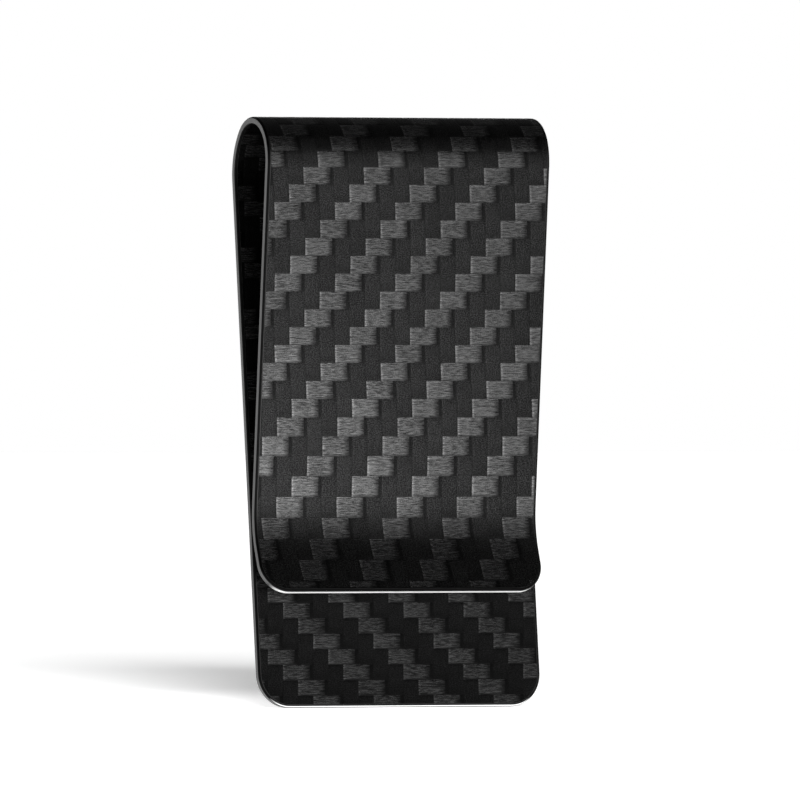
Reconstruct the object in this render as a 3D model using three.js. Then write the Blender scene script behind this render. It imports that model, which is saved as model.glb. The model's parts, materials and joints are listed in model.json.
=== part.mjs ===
// Moulded carbon-fibre money clip, in millimetres, +Z up. It stands on the end of its back leaf,
// with X across its width, the clamping leaf towards -Y and the loop at the top.
// The laminate is four cloth plies. Each ply is a solid of its own on either side of the crown
// of the loop, where the clip flexes.
import * as THREE from 'three';

// Driving dimensions
const height = 70;
const width = 37.5;
const plyThickness = 0.22;
const crownRadius = 3.9; // to the middle of the laminate, as the other radii are
const crownTurnBack = 51;
const crownTurnFront = 71;
const backShoulderRadius = 7.9;
const frontShoulderRadius = 6.6;
const backLeafTilt = 6.1; // degrees from upright, as the other angles of the leaves are
const frontLeafTilt = 5;
const contactGap = 0.04;
const lipRadius = 13;
const lipTilt = 20;
const lipLength = 5.1; // the straight end of the lip
const backCornerRadius = 4;
const lipCornerRadius = 3.5;

const degreesPerStep = 5;
const cornerSteps = 9;

// Plies from the outer face of the laminate to the inner one. The face plies are the twill cloth
// that shows; the core plies between them carry the same weave out of sight.
const plies = [
  { name: 'outer_twill_ply', color: 0x2b2b2c, roughness: 0.42, metalness: 0.1 },
  { name: 'outer_core_ply', color: 0x4c4c4d, roughness: 0.55, metalness: 0.0 },
  { name: 'inner_core_ply', color: 0x454546, roughness: 0.55, metalness: 0.0 },
  { name: 'inner_twill_ply', color: 0x242425, roughness: 0.45, metalness: 0.1 },
];
const laminate = plies.length * plyThickness;
const rad = THREE.MathUtils.degToRad;

// A half of the clip is a path down from the crown, made of arcs and straights. The path's angle
// is 0 where it runs level at the crown, and grows as it turns down. Its side is 1 towards the
// back and -1 towards the front.
const arc = (radius, turn) => ({ length: radius * Math.abs(rad(turn)), bend: Math.sign(turn) / radius });
const straight = (length) => ({ length, bend: 0 });

function pathPoint(half, distance) {
  let left = distance;
  let [out, z, angle] = [0, 0, 0];
  for (const { length, bend } of half.segments) {
    const step = Math.min(left, length);
    const turned = angle + bend * step;
    out += bend ? (Math.sin(turned) - Math.sin(angle)) / bend : Math.cos(angle) * step;
    z += bend ? (Math.cos(turned) - Math.cos(angle)) / bend : -Math.sin(angle) * step;
    angle = turned;
    left -= step;
  }
  return { y: half.side * out, z, angle };
}

const pathLength = (half) => half.segments.reduce((sum, { length }) => sum + length, 0);

// The outward normal of the laminate, away from the inside of the loop
const outward = (half, angle) => new THREE.Vector2(half.side * Math.sin(angle), Math.cos(angle));

// A point of the laminate in the side view: its x is Y of the clip and its y is Z.
function offsetPoint(half, distance, offset) {
  const { y, z, angle } = pathPoint(half, distance);
  return outward(half, angle).multiplyScalar(offset).add(new THREE.Vector2(y, z));
}

// The back leaf is as long as the overall height needs: the outer corner of its end is the lowest point.
function makeBackHalf() {
  const half = {
    side: 1,
    name: 'back',
    cornerRadius: backCornerRadius,
    segments: [
      arc(crownRadius, crownTurnBack),
      arc(backShoulderRadius, 90 + backLeafTilt - crownTurnBack),
    ],
  };
  const shoulderEnd = offsetPoint(half, pathLength(half), laminate / 2);
  const drop = height - laminate / 2 + shoulderEnd.y;
  half.segments.push(straight(drop / Math.cos(rad(backLeafTilt))));
  return half;
}

// The front leaf is straight until the lip's arc, which is where the lip just clears the back leaf:
// the arc's centre is its own radius, half a laminate and the gap away from the back leaf's inner face.
function makeFrontHalf(back) {
  const half = {
    side: -1,
    name: 'front',
    cornerRadius: lipCornerRadius,
    segments: [
      arc(crownRadius, crownTurnFront),
      arc(frontShoulderRadius, 90 + frontLeafTilt - crownTurnFront),
    ],
  };
  const start = pathLength(half);
  const leafAngle = rad(90 + frontLeafTilt);
  const backAngle = rad(90 + backLeafTilt);
  const backNormal = outward(back, backAngle);
  const innerFace = offsetPoint(back, pathLength(back), -laminate / 2);
  const centreAtStart = offsetPoint(half, start, lipRadius);
  const reach = innerFace.sub(centreAtStart).dot(backNormal) - lipRadius - laminate / 2 - contactGap;
  const direction = new THREE.Vector2(half.side * Math.cos(leafAngle), -Math.sin(leafAngle));
  half.segments.push(straight(reach / direction.dot(backNormal)));
  half.segments.push(arc(lipRadius, -(frontLeafTilt + lipTilt)));
  half.segments.push(straight(lipLength));
  return half;
}

// Distances along the path where a ply has a cross-section: at each step of an arc, and close
// together where the corners of the free end are rounded.
function sections(half) {
  const end = pathLength(half);
  const marks = [0];
  let start = 0;
  for (const { length, bend } of half.segments) {
    const count = Math.max(1, Math.ceil((length * Math.abs(bend)) / rad(degreesPerStep)));
    for (let i = 1; i <= count; i += 1) marks.push(start + (length * i) / count);
    start += length;
  }
  const radius = half.cornerRadius;
  const corner = [];
  for (let i = 0; i <= cornerSteps; i += 1) {
    corner.push(end - radius * (1 - Math.sin(((Math.PI / 2) * i) / cornerSteps)));
  }
  const nearest = 0.05;
  const apart = (mark) => corner.every((other) => Math.abs(mark - other) > nearest);
  return [...marks.filter(apart), ...corner].sort((a, b) => a - b);
}

function halfWidth(half, distance) {
  const radius = half.cornerRadius;
  const fromEnd = pathLength(half) - distance;
  const inset = Math.max(0, radius - fromEnd);
  return width / 2 - radius + Math.sqrt(Math.max(0, radius ** 2 - inset ** 2));
}

// A box with its length bent along the path: its X is across the clip, its Y through the ply.
function plyGeometry(half, outer) {
  const marks = sections(half);
  const geometry = new THREE.BoxGeometry(2, 1, 1, 1, 1, marks.length - 1);
  const position = geometry.attributes.position;
  for (let i = 0; i < position.count; i += 1) {
    const along = 0.5 + half.side * -position.getZ(i);
    const distance = marks[Math.round(along * (marks.length - 1))];
    const offset = outer - (0.5 - position.getY(i)) * plyThickness;
    const place = offsetPoint(half, distance, offset);
    position.setXYZ(i, position.getX(i) * halfWidth(half, distance), place.x, place.y);
  }
  geometry.computeVertexNormals();
  return geometry;
}

function plyMesh(half, index) {
  const { name, ...look } = plies[index];
  const outer = laminate / 2 - index * plyThickness;
  const mesh = new THREE.Mesh(plyGeometry(half, outer), new THREE.MeshStandardMaterial(look));
  mesh.name = `${name}_${half.name}`;
  return mesh;
}

const clip = new THREE.Group();
const backHalf = makeBackHalf();
const frontHalf = makeFrontHalf(backHalf);
for (const half of [backHalf, frontHalf]) {
  plies.forEach((ply, index) => clip.add(plyMesh(half, index)));
}

// The origin is under the middle of the whole clip.
const box = new THREE.Box3().setFromObject(clip);
for (const mesh of clip.children) {
  mesh.geometry.translate(0, -(box.min.y + box.max.y) / 2, -box.min.z);
}

export default clip;
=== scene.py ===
# Moulded carbon-fibre money clip: four cloth plies bent round a loop, on a pale studio floor.
# Metres throughout, +Z up, the clamping leaf towards -Y.
import json
import math

import bpy
import numpy as np
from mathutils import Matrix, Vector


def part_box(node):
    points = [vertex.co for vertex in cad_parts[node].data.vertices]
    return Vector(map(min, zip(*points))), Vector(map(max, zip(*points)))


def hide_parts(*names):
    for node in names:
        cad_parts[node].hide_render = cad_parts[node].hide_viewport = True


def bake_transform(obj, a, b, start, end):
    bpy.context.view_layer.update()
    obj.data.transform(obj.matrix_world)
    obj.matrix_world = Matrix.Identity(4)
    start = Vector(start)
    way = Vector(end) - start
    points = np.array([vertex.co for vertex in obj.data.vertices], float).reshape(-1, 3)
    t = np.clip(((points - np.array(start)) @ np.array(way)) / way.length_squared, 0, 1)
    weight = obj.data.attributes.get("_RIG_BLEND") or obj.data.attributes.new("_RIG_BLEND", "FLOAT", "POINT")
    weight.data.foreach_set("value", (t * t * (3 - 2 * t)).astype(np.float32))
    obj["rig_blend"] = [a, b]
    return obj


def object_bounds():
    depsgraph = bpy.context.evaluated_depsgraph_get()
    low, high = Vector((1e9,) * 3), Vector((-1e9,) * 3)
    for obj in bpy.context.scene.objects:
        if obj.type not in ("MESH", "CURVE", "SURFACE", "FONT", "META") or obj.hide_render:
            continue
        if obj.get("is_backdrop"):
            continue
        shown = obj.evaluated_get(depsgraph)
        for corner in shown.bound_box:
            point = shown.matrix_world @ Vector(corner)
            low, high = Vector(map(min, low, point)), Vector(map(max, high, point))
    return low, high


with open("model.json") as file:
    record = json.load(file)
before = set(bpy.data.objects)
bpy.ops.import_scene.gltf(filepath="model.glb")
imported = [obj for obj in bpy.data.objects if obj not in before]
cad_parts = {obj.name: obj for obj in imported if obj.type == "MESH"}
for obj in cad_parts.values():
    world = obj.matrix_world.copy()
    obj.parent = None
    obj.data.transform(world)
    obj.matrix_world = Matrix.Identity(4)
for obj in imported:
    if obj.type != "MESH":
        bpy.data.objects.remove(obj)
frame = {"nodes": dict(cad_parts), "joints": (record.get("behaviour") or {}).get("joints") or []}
cadLow, cadHigh = (np.array(corner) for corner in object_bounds())
mm = 0.001
print("frame loaded:", len(frame["nodes"]), "CAD nodes")

clip = {
    "ply": 0.22 * mm,
    "crownRadius": 3.9 * mm,  # radii are to the middle of the laminate
    "crownTurnBack": 51,
    "crownTurnFront": 71,
    "backShoulderRadius": 7.9 * mm,
    "frontShoulderRadius": 6.6 * mm,
    "backLeafTilt": 6.1,
    "frontLeafTilt": 5,
    "lipRadius": 13 * mm,
    "lipTilt": 20,
    "lipLength": 5.1 * mm,
    "backCornerRadius": 4 * mm,
    "frontCornerRadius": 3.5 * mm,
    "easedEdge": 0.4 * mm,  # how far in the face plies' rims are eased, and how deep
    "easedDepth": 0.2 * mm,
    "cornerSteps": 19,  # mesh lines round a corner, and over an eased edge
    "easedSteps": 9,
    "leastGap": 0.012 * mm,  # mesh lines closer than this are drawn as one
    "crowding": 0.004 * mm,  # between the lines drawn up beside an edge
    "freeEnd": (0.03, 0.3),  # shares of a corner's radius over which a free end's painted light stops
    "sharpAngle": 50,
}
laminate = 4 * clip["ply"]
halfClipWidth = (cadHigh[0] - cadLow[0]) / 2
hinge = np.array(frame["joints"][0]["pos_m"])  # on the outer face, at the top of the loop
crown = hinge - np.array([0, 0, laminate / 2])


def turn(radius, degrees):
    # An arc as its length and its bend, which is one over its radius. The lip bends the other way.
    return abs(math.radians(degrees)) * radius, math.copysign(1 / radius, degrees)


def alongHalf(segments, distance):
    # Each segment adds its bend times the length run in it to the path's angle. An arc moves the
    # point by the change of the angle's sine and cosine over its bend, a straight by its length.
    zero = 0 * distance
    out, drop, angle, start = zero, zero, zero, 0.0
    for length, bend in segments:
        run = np.clip(distance - start, 0, length)
        turned = angle + bend * run
        if bend:
            out = out + (np.sin(turned) - np.sin(angle)) / bend
            drop = drop + (np.cos(turned) - np.cos(angle)) / bend
        else:
            out = out + np.cos(angle) * run
            drop = drop - np.sin(angle) * run
        angle, start = turned, start + length
    return out, drop, angle


def segmentLength(segments):
    return sum(length for length, bend in segments)


def fitStraight(before, after, tilt, lowest, outer):
    # The straight leaf is as long as it takes to bring the end's lowest corner down to the CAD's.
    length = segmentLength(before) + segmentLength(after)
    drop, angle = alongHalf(before + after, np.array([length]))[1:]
    corner = crown[2] + drop[0] + outer * math.cos(angle[0])
    return (corner - lowest) / math.cos(math.radians(tilt))


backCurves = [
    turn(clip["crownRadius"], clip["crownTurnBack"]),
    turn(clip["backShoulderRadius"], 90 + clip["backLeafTilt"] - clip["crownTurnBack"]),
]
frontCurves = [
    turn(clip["crownRadius"], clip["crownTurnFront"]),
    turn(clip["frontShoulderRadius"], 90 + clip["frontLeafTilt"] - clip["crownTurnFront"]),
]
lip = [
    turn(clip["lipRadius"], -(clip["frontLeafTilt"] + clip["lipTilt"])),
    (clip["lipLength"], 0),
]
backStraight = fitStraight(backCurves, [], clip["backLeafTilt"], cadLow[2], laminate / 2)
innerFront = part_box("inner_twill_ply_front")[0][2]
frontStraight = fitStraight(frontCurves, lip, clip["frontLeafTilt"], innerFront, -laminate / 2)
backPath = backCurves + [(backStraight, 0)]
frontPath = frontCurves + [(frontStraight, 0)] + lip
backEnd, frontEnd = -segmentLength(backPath), segmentLength(frontPath)
backTangent, frontTangent = -segmentLength(backCurves), segmentLength(frontCurves)
print("back leaf runs", round(-backEnd / mm, 2), "mm and front leaf", round(frontEnd / mm, 2), "mm")


def sheetPoint(across, along, height):
    # A point of the laminate: across is X, along is the length of cloth from the crown, negative
    # down the back leaf, and height is the distance out from the middle of the laminate.
    backOut, backDrop, backAngle = alongHalf(backPath, np.maximum(-along, 0))
    frontOut, frontDrop, frontAngle = alongHalf(frontPath, np.maximum(along, 0))
    y = crown[1] + backOut - frontOut
    z = crown[2] + backDrop + frontDrop
    angle = backAngle - frontAngle
    return np.stack([across, y + height * np.sin(angle), z + height * np.cos(angle)], axis=-1)


def cornerAt(along):
    toBack, toFront = along - backEnd, frontEnd - along
    nearBack = toBack < toFront
    radius = np.where(nearBack, clip["backCornerRadius"], clip["frontCornerRadius"])
    return radius, np.where(nearBack, toBack, toFront)


def halfWidth(along):
    # Half the width less the corner's radius, plus the corner circle's own half chord
    radius, toEnd = cornerAt(along)
    inset = np.clip(radius - toEnd, 0, None)
    return halfClipWidth - radius + np.sqrt(np.clip(radius**2 - inset**2, 0, None))


def edgeDistance(across, along):
    # Distance in the flat cloth to the clip's outline, round its corners
    radius, toEnd = cornerAt(along)
    toSide = halfClipWidth - np.abs(across)
    inCorner = (toSide < radius) & (toEnd < radius)
    toArc = radius - np.hypot(radius - toSide, radius - toEnd)
    return np.clip(np.where(inCorner, toArc, np.minimum(toSide, toEnd)), 0, None)


weave = {
    "towPitch": 2.0 * mm,
    "backPick": 1.84 * mm,  # from pick to pick on the back leaf, over the crown,
    "crownPick": 1.62 * mm,
    "frontPick": 2.12 * mm,  # on the front leaf and at the lip
    "lipPick": 2.66 * mm,
    "frontFrom": 3.6 * mm,  # where the front picks start to spread, and where they reach the leaf's
    "frontTo": 10.5 * mm,
    "backFrom": 4 * mm,
    "backTo": 11 * mm,
    "widerFrom": 30 * mm,  # where they start to spread again, and where they reach the lip's
    "widerTo": 56 * mm,
    "wander": 0.06,  # how far the warps drift from straight, in tows
    "wanderLength": 23 * mm,
    "relief": 0.035 * mm,  # how far a tow stands above the dip where it goes under
    "warpHeight": 0.9,  # a warp float's height as a share of a weft float's
    "sideFall": 0.16,  # shares of a tow's width and of a float's length that fall away
    "endFall": 0.12,
    "endDip": 0.65,  # how much of its height a float loses at its ends
    "towLines": [0, 0.05, 0.12, 0.3, 0.7, 0.88, 0.95],  # where mesh lines run in each tow
    "coreLines": [0, 0.25, 0.5, 0.75],
    "reliefFrom": 0.8,  # the relief comes in over this many easings from the outline
    "reliefTo": 2.0,
}
# lean is how many tows the warps step across for each metre of cloth
outerCloth = {"acrossPhase": -2.78, "alongPhase": -2.618, "lean": -27.5, "wanderPhase": 0.4}
innerCloth = {"acrossPhase": 0.69, "alongPhase": 4.097, "lean": -14.8, "wanderPhase": 2.1}


def smooth(low, high, value):
    # 0 below low, 1 above high, and between them three squares less two cubes of the share gone
    t = np.clip((value - low) / (high - low), 0, 1)
    return t * t * (3 - 2 * t)


def pickLine():
    # The pick number grows by one each time the cloth's length grows by the pick distance there.
    along = np.linspace(backEnd - 5 * mm, frontEnd + 5 * mm, 4000)
    front = smooth(weave["frontFrom"], weave["frontTo"], along)
    back = smooth(weave["backFrom"], weave["backTo"], -along)
    wider = smooth(weave["widerFrom"], weave["widerTo"], along)
    pitch = weave["crownPick"] + (weave["frontPick"] - weave["crownPick"]) * front
    pitch = pitch + (weave["backPick"] - weave["crownPick"]) * back
    pitch = pitch + (weave["lipPick"] - weave["frontPick"]) * wider
    steps = np.diff(along) * 2 / (pitch[1:] + pitch[:-1])
    pick = np.concatenate([[0], np.cumsum(steps)])
    return along, pick - np.interp(0, along, pick)


alongLine, pickOfAlong = pickLine()


def towShift(along, cloth):
    # The warps lean by a steady step for each length of cloth, and wander about that as a sine.
    wave = np.sin(2 * math.pi * along / weave["wanderLength"] + cloth["wanderPhase"])
    return cloth["acrossPhase"] + cloth["lean"] * along + weave["wander"] * wave


def clothAcross(across, along, cloth):
    return across / weave["towPitch"] + towShift(along, cloth)


def acrossFromCloth(tow, along, cloth):
    return (tow - towShift(along, cloth)) * weave["towPitch"]


def clothAlong(along, cloth):
    return np.interp(along, alongLine, pickOfAlong) + cloth["alongPhase"]


def alongFromCloth(pick, cloth):
    return np.interp(pick - cloth["alongPhase"], pickOfAlong, alongLine)


def towCrown(part, run):
    # Flat on top, a quarter circle at the tow's sides and a parabola down to the dip at its ends
    side = np.clip(np.minimum(part, 1 - part) / weave["sideFall"], 0, 1)
    end = np.clip(np.minimum(run, 1 - run) / weave["endFall"], 0, 1)
    raised = 1 - weave["endDip"] + weave["endDip"] * end * (2 - end)
    return np.sqrt(np.clip(side * (2 - side), 0, 1)) * raised


def reliefAt(tow, pick):
    # 2/2 twill: each pick lies over two warps and under two, one warp further on from pick to pick.
    column, row = np.floor(tow), np.floor(pick)
    step = np.mod(column + row, 4)
    towPart, pickPart = tow - column, pick - row
    weftRun = (step + towPart) / 2
    warpRun = (step - 2 + pickPart) / 2
    weft = towCrown(pickPart, weftRun)
    warp = towCrown(towPart, warpRun)
    return np.where(step < 2, weft, weave["warpHeight"] * warp)


print("cloth laid out:", round(float(pickOfAlong.max() - pickOfAlong.min())), "picks")


def apart(marks, gap):
    # Keeps the first mark in each stretch of one gap, and the last of all
    marks = np.unique(marks)
    kept = np.floor((marks - marks[0]) / gap)
    first = np.concatenate([[True], np.diff(kept) > 0])
    return np.unique(np.append(marks[first], marks[-1]))


def cornerMarks(radius, count):
    # Equal turns of a quarter circle: radius less the radius times the turn's cosine
    angles = np.linspace(0, math.pi / 2, count)
    return radius * (1 - np.cos(angles))


def alongMarks(cloth, fractions):
    firstPick, lastPick = clothAlong(backEnd, cloth), clothAlong(frontEnd, cloth)
    picks = np.arange(math.floor(firstPick), math.ceil(lastPick))
    woven = alongFromCloth((picks[:, None] + np.array(fractions)[None, :]).ravel(), cloth)
    woven = woven[(woven > backEnd) & (woven < frontEnd)]
    backMarks = backEnd + cornerMarks(clip["backCornerRadius"], clip["cornerSteps"])
    frontMarks = frontEnd - cornerMarks(clip["frontCornerRadius"], clip["cornerSteps"])
    return apart(np.concatenate([woven, backMarks, frontMarks]), clip["leastGap"])


def buildMesh(name, points, quads, triangles, uv):
    mesh = bpy.data.meshes.new(name)
    mesh.from_pydata(points.reshape(-1, 3).tolist(), [], quads.tolist() + triangles.tolist())
    mesh.update()
    corner = np.empty(len(mesh.loops), dtype=np.int32)
    mesh.loops.foreach_get("vertex_index", corner)
    layer = mesh.uv_layers.new(name="cloth")
    layer.data.foreach_set("uv", uv.reshape(-1, 2)[corner].astype(np.float32).ravel())
    piece = bpy.data.objects.new(name, mesh)
    bpy.context.scene.collection.objects.link(piece)
    return piece


def setAttribute(mesh, name, values):
    attribute = mesh.attributes.new(name, "FLOAT", "POINT")
    attribute.data.foreach_set("value", values.astype(np.float32).ravel())


def ringFaces(rows, columns, flip):
    # Quads between neighbouring rings of points, and at the two ends a fan from the ring's last
    # two points
    index = np.arange(rows * columns).reshape(rows, columns)
    nextColumn = np.roll(index, -1, axis=1)
    quads = np.stack([index[:-1], nextColumn[:-1], nextColumn[1:], index[1:]], axis=-1)
    quads = quads.reshape(-1, 4)
    caps = []
    for ring, turned in ((index[0], True), (index[-1], False)):
        face, right, left = ring[:-2], ring[-2], ring[-1]
        middle = len(face) // 2
        first, second = face[:-1], face[1:]
        anchor = np.where(np.arange(len(first)) < middle, left, right)
        fan = np.stack([first, second, anchor], axis=-1)
        fan = np.vstack([fan, [[face[middle], right, left]]])
        caps.append(fan[:, ::-1] if turned else fan)
    triangles = np.vstack(caps)
    if flip:
        quads, triangles = quads[:, ::-1], triangles[:, ::-1]
    return quads, triangles


def facePly(name, cloth, side):
    # One face ply: woven relief on its shown side, eased edges, and flat where it meets the core.
    # side is 1 outside the loop and -1 inside it.
    along = alongMarks(cloth, weave["towLines"])
    half = halfWidth(along)[:, None]
    sides = np.array([-halfClipWidth, halfClipWidth])[:, None]
    sideTows = clothAcross(sides, along[None, :], cloth)
    towCount = np.arange(math.floor(sideTows.min()), math.ceil(sideTows.max()))
    tows = (towCount[:, None] + np.array(weave["towLines"])[None, :]).ravel()
    wovenAcross = acrossFromCloth(tows[None, :], along[:, None], cloth)
    eased = clip["easedEdge"]
    edgeMarks = cornerMarks(eased, clip["easedSteps"])
    # Lines that would lie past the edge are drawn up beside it, in their order.
    rank = np.arange(len(tows))
    low = -half + eased + clip["crowding"] * (1 + rank)[None, :]
    high = half - eased - clip["crowding"] * (1 + rank[::-1])[None, :]
    wovenAcross = np.clip(wovenAcross, low, high)
    across = np.hstack([-half + edgeMarks[None, :], wovenAcross, half - edgeMarks[None, ::-1]])
    length = np.broadcast_to(along[:, None], across.shape)
    tow, pick = clothAcross(across, length, cloth), clothAlong(length, cloth)
    inside = edgeDistance(across, length)
    # The rim is a quarter of an ellipse: its drop is the depth less the depth times the root of one
    # less the squared share of the easing still to go.
    share = np.clip(1 - inside / eased, 0, 1)
    rounded = clip["easedDepth"] * (1 - np.sqrt(1 - share**2))
    fade = smooth(weave["reliefFrom"] * eased, weave["reliefTo"] * eased, inside)
    relief = weave["relief"] * (1 - reliefAt(tow, pick)) * fade
    shown = sheetPoint(across, length, side * (laminate / 2 - rounded - relief))
    hidden = sheetPoint(np.hstack([half, -half]), length[:, :2], side * clip["ply"])
    points = np.concatenate([shown, hidden], axis=1)
    towAll = np.hstack([tow, tow[:, -1:], tow[:, :1]])
    pickAll = np.hstack([pick, pick[:, :2]])
    quads, triangles = ringFaces(*points.shape[:2], flip=side < 0)
    piece = buildMesh(name, points, quads, triangles, np.stack([towAll, pickAll], axis=-1))
    # A face is cloth where its middle is well inside the eased edge, and machined edge elsewhere.
    rows, columns = points.shape[:2]
    middle = (inside[:-1, :-1] + inside[1:, :-1] + inside[1:, 1:] + inside[:-1, 1:]) / 4
    machined = np.ones((rows - 1, columns), dtype=np.int32)
    machined[:, : columns - 3] = middle < eased
    finish = np.ones(len(quads) + len(triangles), dtype=np.int32)
    finish[: len(quads)] = machined.ravel()
    piece.data.polygons.foreach_set("material_index", finish)
    rim = np.hstack([inside, np.zeros((rows, 2))]) / mm
    setAttribute(piece.data, "fromRim", rim)
    return piece, along, columns


def corePly(name, outer, inner, shift):
    # A core ply: its four corners carried along the path, with a map in mm of its own
    along = alongMarks(outerCloth, weave["coreLines"])
    half = halfWidth(along)
    rings = [
        sheetPoint(side * half, along, np.full_like(half, height))
        for side, height in ((-1, outer), (1, outer), (1, inner), (-1, inner))
    ]
    points = np.stack(rings, axis=1)
    quads, triangles = ringFaces(*points.shape[:2], flip=False)
    length = np.broadcast_to(along[:, None], points.shape[:2])
    flat = np.stack([points[..., 0], length], axis=-1) / mm + shift
    piece = buildMesh(name, points, quads, triangles, flat)
    return piece, along, points.shape[1]


def finishPiece(piece, along, columns, endShine):
    # The loop bends with its own length: a point follows the back leaf up to the end of the back
    # leaf's straight, the front leaf from the start of its straight, and turns smoothly between.
    mesh = piece.data
    mesh.polygons.foreach_set("use_smooth", np.ones(len(mesh.polygons), dtype=bool))
    mesh.set_sharp_from_angle(angle=math.radians(clip["sharpAngle"]))
    start = sheetPoint(np.array(0.0), np.array(backTangent), np.array(0.0))
    end = sheetPoint(np.array(0.0), np.array(frontTangent), np.array(0.0))
    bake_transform(piece, "back_leaf", "front_leaf", start=tuple(start), end=tuple(end))
    length = np.repeat(along, columns)
    weight = smooth(backTangent, frontTangent, length)
    mesh.attributes["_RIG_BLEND"].data.foreach_set("value", weight.astype(np.float32))
    # How near a point is to a free end: 1 on the end, 0 from a third of its corner's radius in
    radius, toEnd = cornerAt(length)
    nearEnd = 1 - smooth(*clip["freeEnd"], toEnd / radius)
    # These place the edge's painted highlights and painted shade at the free ends; endShine keeps the
    # painted highlight on the front leaf's end off the outer cloth.
    setAttribute(mesh, "nearBackEnd", np.where(length < 0, nearEnd, 0))
    setAttribute(mesh, "nearFrontEnd", np.where(length > 0, nearEnd * endShine, 0))


outerTwill = facePly("outer_twill_cloth", outerCloth, 1)
innerTwill = facePly("inner_twill_cloth", innerCloth, -1)
outerCore = corePly("outer_core_layer", clip["ply"], 0.0, 0.0)
innerCore = corePly("inner_core_layer", 0.0, -clip["ply"], 17.0)
for made, node in (
    (outerTwill, "outer_twill_ply"),
    (outerCore, "outer_core_ply"),
    (innerCore, "inner_core_ply"),
    (innerTwill, "inner_twill_ply"),
):
    finishPiece(*made, endShine=0 if made is outerTwill else 1)
    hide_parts(node + "_back", node + "_front")
    print("made", made[0].name, "with", len(made[0].data.polygons), "faces")


class Value:
    # A shader socket that can be written into sums, products and comparisons
    def __init__(self, nodes, socket):
        self.nodes, self.socket = nodes, socket

    def math(self, operation, *others):
        return self.nodes.add("ShaderNodeMath", {"operation": operation}, [self, *others])

    def __add__(self, other):
        return self.math("ADD", other)

    def __sub__(self, other):
        return self.math("SUBTRACT", other)

    def __rsub__(self, other):
        return self.nodes.add("ShaderNodeMath", {"operation": "SUBTRACT"}, [other, self])

    def __mul__(self, other):
        return self.math("MULTIPLY", other)

    def __truediv__(self, other):
        return self.math("DIVIDE", other)

    def __lt__(self, other):
        return self.math("LESS_THAN", other)

    def __mod__(self, other):
        return self.math("FLOORED_MODULO", other)

    __radd__ = __add__
    __rmul__ = __mul__

    def floor(self):
        return self.math("FLOOR")

    def fraction(self):
        return self.math("FRACT")

    def larger(self, other):
        return self.math("MAXIMUM", other)

    def ramp(self, low, high):
        # 0 below low and 1 above high, smooth between
        settings = {"interpolation_type": "SMOOTHSTEP"}
        inputs = {"Value": self, "From Min": low, "From Max": high}
        return self.nodes.add("ShaderNodeMapRange", settings, inputs)


class Nodes:
    def __init__(self, tree):
        self.tree = tree
        tree.nodes.clear()

    def add(self, kind, settings=None, inputs=None, output=0):
        node = self.tree.nodes.new(kind)
        for key, value in (settings or {}).items():
            setattr(node, key, value)
        pairs = enumerate(inputs) if isinstance(inputs, list) else (inputs or {}).items()
        for key, value in pairs:
            if isinstance(value, Value):
                self.tree.links.new(value.socket, node.inputs[key])
            else:
                node.inputs[key].default_value = value
        return Value(self, node.outputs[output] if node.outputs else None)

    def vector(self, x, y, z=0.0):
        return self.add("ShaderNodeCombineXYZ", None, {"X": x, "Y": y, "Z": z})

    def split(self, vector):
        node = self.add("ShaderNodeSeparateXYZ", None, {"Vector": vector}).socket.node
        return [Value(self, node.outputs[axis]) for axis in "XYZ"]

    def mix(self, factor, first, second):
        # A Mix node's colours are its inputs 6 and 7 and its output 2.
        inputs = {0: factor, 6: first, 7: second}
        return self.add("ShaderNodeMix", {"data_type": "RGBA"}, inputs, 2)

    def noise(self, vector, scale, detail=2.0, roughness=0.5):
        inputs = {"Vector": vector, "Scale": scale, "Detail": detail, "Roughness": roughness}
        return self.add("ShaderNodeTexNoise", {"noise_dimensions": "3D"}, inputs)

    def random(self, vector):
        return self.add("ShaderNodeTexWhiteNoise", {"noise_dimensions": "3D"}, {"Vector": vector})

    def attribute(self, name):
        return self.add("ShaderNodeAttribute", {"attribute_name": name}, None, "Fac")

    def coordinates(self, kind):
        return self.add("ShaderNodeTexCoord", None, None, kind)

    def surface(self, inputs):
        shader = self.add("ShaderNodeBsdfPrincipled", None, inputs)
        self.add("ShaderNodeOutputMaterial", None, {"Surface": shader})


def newMaterial(name):
    material = bpy.data.materials.new(name)
    material.use_nodes = True
    return material, Nodes(material.node_tree)


def grey(value):
    return (value, value, value, 1.0)


# Weft floats are coloured far lighter than warp floats: a painted sheen, as fibres that run across catch
# this studio's light and fibres that run along stay dark.
twillLook = {
    "weft": 0.058,
    "warp": 0.013,
    "weftRoughness": 0.27,
    "warpRoughness": 0.31,
    "metallic": 0.94,
    "specular": 0.2,
    "coat": 0.1,
    "coatRoughness": 0.3,
    "bump": 0.4,
    "bumpHeight": 0.03 * mm,
    "weftShown": 1.76,  # how much of its two tows a weft float shows before it goes under
    "fray": 0.22,  # how far a float's ends and sides wander, in tows
    "sideFray": 0.12,
    "fibreContrast": 1.6,
    "floatContrast": 0.3,  # from one float to the next
    "mottle": 0.5,  # and over many floats
    "least": 0.15,
    "litLeft": 0.5,  # painted highlights: how bright a weft float's left end and top edge are
    "litTop": 0.4,
    "weftEndShadow": 0.7,  # painted shadow: how dark its right end and lower edge are
    "weftLowerShadow": 0.6,
    "besideWeft": 0.6,  # how dark a warp float is beside the weft,
    "betweenWarps": 0.22,  # where two warps meet,
    "warpTopShadow": 0.3,  # at its top and at its lower end
    "warpEndShadow": 0.3,
}
# The face inside the loop has less shine, and is painted darker all over as painted shade.
# Its tows stand out more from each other
innerTwillLook = {
    **twillLook,
    "weft": 0.027,
    "warp": 0.0042,
    "metallic": 0.75,
    "specular": 0.12,
    "coat": 0.05,
    "fibreContrast": 2.2,
    "weftLowerShadow": 0.85,
    "warpEndShadow": 0.6,
}


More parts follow.
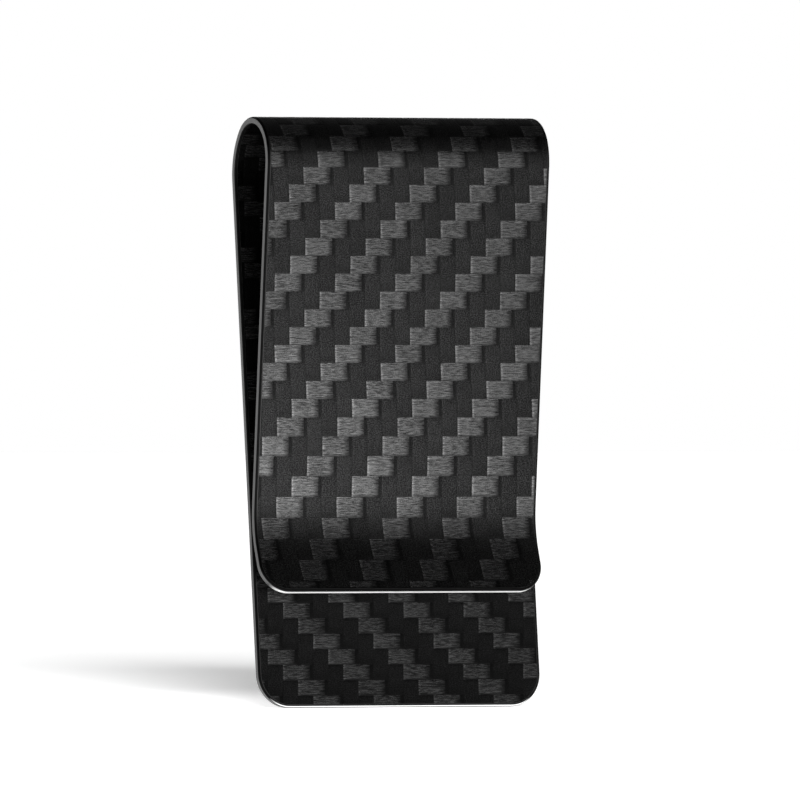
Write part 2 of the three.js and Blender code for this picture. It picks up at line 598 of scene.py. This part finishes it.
def twillMaterial(name, look, seed, topAtLowPick):
    # Places are in tows across and picks along, and ramps run over shares of them.
    material, n = newMaterial(name)
    tow, pick = n.split(n.add("ShaderNodeUVMap", {"uv_map": "cloth"}))[:2]
    grain = n.noise(n.vector(tow * 15.0, pick * 17.0, seed), 1.0, 2.0, 0.6) - 0.5
    column, row = tow.floor(), pick.floor()
    pickPart = pick.fraction()
    step = (column + row) % 4.0
    run = step + tow.fraction()  # tows across from where the weft float comes up
    frayed = run + grain * look["fray"]
    weft = frayed < look["weftShown"]
    warp = 1 - weft
    warpRun = (step - 2.0 + pickPart) / 2.0  # 0 to 1 along a warp float
    # A weft float is named by its row and first column, a warp float by its column and first row.
    firstColumn = column - step
    firstRow = row - (step - 2.0)
    floatColumn = firstColumn * weft + column * warp
    floatRow = row * weft + firstRow * warp
    floatName = n.vector(floatColumn, floatRow, weft * 3.0 + seed)
    tone = (n.random(floatName) - 0.5) * look["floatContrast"]
    mottle = (n.noise(n.vector(tow * 0.4, pick * 0.4, seed), 1.0, 2.0, 0.5) - 0.5) * look["mottle"]
    # Fibres run along the tow, so streaks are long that way and fine across it.
    weftPlace = n.vector(tow * 2.4, pick * 18.0, row * 5.3 + seed)
    warpPlace = n.vector(tow * 20.0, pick * 2.6, column * 3.1 + seed)
    weftStreak = n.noise(weftPlace, 1.0, 2.0, 0.6) - 0.5
    warpStreak = n.noise(warpPlace, 1.0, 2.0, 0.6) - 0.5
    weftFibre = (weftStreak * 2.2 + grain * 1.2) * weft
    warpFibre = (warpStreak * 1.4 + grain * 5.5) * warp
    fibre = weftFibre + warpFibre
    # A weft float: painted highlights along its top edge and its left end, and painted shadow
    # where its right end goes under and along its lower edge
    down = pickPart if topAtLowPick else 1 - pickPart
    ragged = down + grain * look["sideFray"]
    litLeft = (1 - frayed.ramp(0.07, 0.17)) * look["litLeft"]
    litTop = (1 - ragged.ramp(0.09, 0.16)) * look["litTop"]
    rightEndShadow = 1 - frayed.ramp(1.3, look["weftShown"]) * look["weftEndShadow"]
    lower = 1 - ragged.ramp(0.85, 0.97) * look["weftLowerShadow"]
    weftShade = rightEndShadow * lower + litLeft + litTop
    # A warp float: in shadow beside the weft it comes from under, and at its two ends
    warpDown = warpRun if topAtLowPick else 1 - warpRun
    besideWeft = 1 - run.ramp(1.76, 2.1) * (1 - run.ramp(3.86, 3.97) * 0.5)
    betweenWarps = run.ramp(2.88, 3.0) * (1 - run.ramp(3.0, 3.12))
    lowerEnd = (warpDown + grain * 0.1).ramp(0.66, 1.0) * look["warpEndShadow"]
    ends = lowerEnd + (1 - warpDown.ramp(0.0, 0.05)) * look["warpTopShadow"]
    sides = (1 - besideWeft * look["besideWeft"]) * (1 - betweenWarps * look["betweenWarps"])
    warpShade = sides * (1 - ends)
    texture = (fibre * look["fibreContrast"] + tone + mottle + 1.0).larger(look["least"])
    shade = (weftShade * weft * look["weft"] + warpShade * warp * look["warp"]) * texture
    roughness = look["warpRoughness"] + weft * (look["weftRoughness"] - look["warpRoughness"])
    bump = {"Strength": look["bump"], "Distance": look["bumpHeight"], "Height": fibre}
    n.surface({
        "Base Color": n.mix(shade, grey(0.0), grey(1.0)),
        "Roughness": roughness + fibre * 0.05,
        "Metallic": look["metallic"],
        "Specular IOR Level": look["specular"],
        "Normal": n.add("ShaderNodeBump", None, bump),
        "Coat Weight": look["coat"],
        "Coat Roughness": look["coatRoughness"],
    })
    return material


edgeLook = {
    "cutGrey": 0.054,
    "rimGrey": 0.005,  # painted shade on the eased rim, painted highlight where the easing starts
    "arrisGrey": 0.045,
    "backEndHighlightGrey": 0.95,  # a bright painted highlight along the back leaf's free end
    "frontEndHighlightGrey": 0.8,  # and a pale painted highlight on the front leaf's end face
    "roughness": 0.42,
    "highlightRoughness": 0.3,
    "specular": 0.3,
    "coat": 0.2,
    "coatRoughness": 0.2,
    "fibreScale": 9000.0,  # cut fibre ends, and broad bands under them
    "bandScale": 900.0,
    "bump": 0.15,
    "bumpHeight": 0.02 * mm,
}


def edgeMaterial(name, look):
    # The machined edge: even grey with fine cut fibre ends, and a painted highlight on the
    # front leaf's end face. On the eased rim of a face ply it is painted darker as painted shade,
    # with a thin painted highlight where the easing starts and a bright painted highlight along
    # the back leaf's end, near which the cut edge is painted darker as painted shade. fromRim is
    # the distance in from the outline, in mm.
    material, n = newMaterial(name)
    place = n.coordinates("Object")
    fibre = n.noise(place, look["fibreScale"], 3.0, 0.7) - 0.5
    band = n.noise(place, look["bandScale"], 2.0, 0.5) - 0.5
    nearBackEnd, nearFrontEnd = n.attribute("nearBackEnd"), n.attribute("nearFrontEnd")
    fromRim = n.attribute("fromRim")
    eased = fromRim.ramp(0.01, 0.03)
    backEndHighlight = fromRim.ramp(0.035, 0.07) * (1 - fromRim.ramp(0.13, 0.18)) * nearBackEnd
    frontEndHighlight = (1 - fromRim.ramp(0.02, 0.06)) * nearFrontEnd
    arris = fromRim.ramp(0.28, 0.32) * (1 - fromRim.ramp(0.34, 0.38))
    # Near the back leaf's free end the cut edge is painted darker: painted shade.
    cut = (fibre * 0.5 + band * 0.3 + 1.0) * (1 - nearBackEnd * 0.9) * look["cutGrey"]
    # The eased rim is painted nearly black as painted shade, with a painted highlight along the line where
    # the easing starts.
    rim = look["rimGrey"] + arris * (look["arrisGrey"] - look["rimGrey"])
    cutAndPaintedRim = cut + eased * (rim - cut)
    shade = cutAndPaintedRim + backEndHighlight * (look["backEndHighlightGrey"] - cutAndPaintedRim) + frontEndHighlight * (look["frontEndHighlightGrey"] - cutAndPaintedRim)
    shine = (backEndHighlight + frontEndHighlight) * (look["highlightRoughness"] - look["roughness"])
    bump = {"Strength": look["bump"], "Distance": look["bumpHeight"], "Height": fibre}
    n.surface({
        "Base Color": n.mix(shade, grey(0.0), grey(1.0)),
        "Roughness": look["roughness"] + shine + fibre * 0.1,
        "Metallic": eased,
        "Specular IOR Level": look["specular"],
        "Normal": n.add("ShaderNodeBump", None, bump),
        "Coat Weight": (1 - eased) * (1 - nearBackEnd) * look["coat"],
        "Coat Roughness": look["coatRoughness"],
    })
    return material


outerLook = twillMaterial("outer twill under clear finish", twillLook, 0.0, True)
innerLook = twillMaterial("inner twill under clear finish", innerTwillLook, 40.0, False)
machinedLook = edgeMaterial("machined laminate edge", edgeLook)
for piece, look in ((outerTwill[0], outerLook), (innerTwill[0], innerLook)):
    piece.data.materials.append(look)
    piece.data.materials.append(machinedLook)
for piece in (outerCore[0], innerCore[0]):
    piece.data.materials.append(machinedLook)
print("materials done")

studio = {
    "floorSize": 24,
    "floorGap": 0.02 * mm,
    "floorGrey": 0.85,
    "floorRoughness": 0.95,
    "floorGlow": 0.29,  # the floor gives a little light of its own,
    "nearGlow": 0.5,  # more of it all round the clip
    "nearRadius": 0.105,
    "poolGlow": 7.5,  # and most in front of the clip, to its right
    "poolPlace": (-0.005, -0.105, 0.0),
    "poolRadius": 0.045,
    "fullGlow": 12.0,  # glow is mixed as a share of this
    "shadeLight": 21.0,  # low light that falls on the floor alone, and draws the clip's shadow
    "shadeHeight": 6.5,  # degrees, as are its turn and its softness
    "shadeTurn": 2.6,
    "shadeSoftness": 7.5,
    "horizon": 1.2,  # a bright band low all round, dark above it, and a soft light overhead
    "dark": 0.07,
    "overhead": 0.12,
    "horizonEdge": (0.17, 0.31),  # sines of the heights between which one gives way to the next
    "overheadEdge": (0.7, 1.0),
    "viewAzimuth": -27.0,
    "viewDistance": 2.8,
    "viewWidth": 0.0949555,  # how much is in view at the clip
    "aim": (0.000953, -0.000485, 0.03647),
    "farthest": 40,
}

floorHeight = cadLow[2] - studio["floorGap"]
bpy.ops.mesh.primitive_plane_add(size=studio["floorSize"], location=(0, 0, floorHeight))
floor = bpy.context.object
floor.name = "studio_floor"
floor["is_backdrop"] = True
floorMaterial, n = newMaterial("pale floor")
place = n.coordinates("Object")
measure = {"operation": "DISTANCE"}
toPool = n.add("ShaderNodeVectorMath", measure, [place, studio["poolPlace"]], "Value")
toMiddle = n.add("ShaderNodeVectorMath", measure, [place, (0.0, 0.0, 0.0)], "Value")
pool = 1 - toPool.ramp(0.0, 2 * studio["poolRadius"])
near = 1 - toMiddle.ramp(0.0, 2 * studio["nearRadius"])
glow = pool * studio["poolGlow"] + near * studio["nearGlow"] + studio["floorGlow"]
n.surface({
    "Base Color": grey(studio["floorGrey"]),
    "Roughness": studio["floorRoughness"],
    "Emission Color": n.mix(glow / studio["fullGlow"], grey(0.0), grey(studio["fullGlow"])),
    "Emission Strength": 1.0,
})
floor.data.materials.append(floorMaterial)

view = math.radians(studio["viewAzimuth"])
toCamera = np.array([math.sin(view), -math.cos(view), 0.0])

# The light's turn is from the camera's side, and its height an angle above the floor.
shade = bpy.data.lights.new("floor_light", "SUN")
shade.energy = studio["shadeLight"]
shade.angle = math.radians(studio["shadeSoftness"])
lamp = bpy.data.objects.new("floor_light", shade)
turned = view + math.radians(studio["shadeTurn"])
lamp.rotation_euler = (math.pi / 2 - math.radians(studio["shadeHeight"]), 0, turned)
bpy.context.scene.collection.objects.link(lamp)
litFloor = bpy.data.collections.new("lit floor")
litFloor.objects.link(floor)
lamp.light_linking.receiver_collection = litFloor

world = bpy.data.worlds.new("studio")
bpy.context.scene.world = world
world.use_nodes = True
n = Nodes(world.node_tree)
height = n.split(n.coordinates("Generated"))[2]
rise = height.ramp(*studio["horizonEdge"])
above = height.ramp(*studio["overheadEdge"])
low = n.mix(rise, grey(studio["horizon"]), grey(studio["dark"]))
surround = n.mix(above, low, grey(studio["overhead"]))
seen = n.add("ShaderNodeBackground", None, {"Color": grey(1.0)})
lit = n.add("ShaderNodeBackground", None, {"Color": surround})
direct = n.add("ShaderNodeLightPath", None, None, "Is Camera Ray")
both = n.add("ShaderNodeMixShader", None, [direct, lit, seen])
n.add("ShaderNodeOutputWorld", None, {"Surface": both})

camera = bpy.data.cameras.new("camera")
eye = bpy.data.objects.new("camera", camera)
bpy.context.scene.collection.objects.link(eye)
eye.location = np.array(studio["aim"]) + toCamera * studio["viewDistance"]
eye.rotation_euler = (math.pi / 2, 0, view)
camera.sensor_width = 36
camera.lens = camera.sensor_width * studio["viewDistance"] / studio["viewWidth"]
camera.clip_end = studio["farthest"]
bpy.context.scene.camera = eye
bpy.context.scene.view_settings.view_transform = "Standard"
print("studio done")
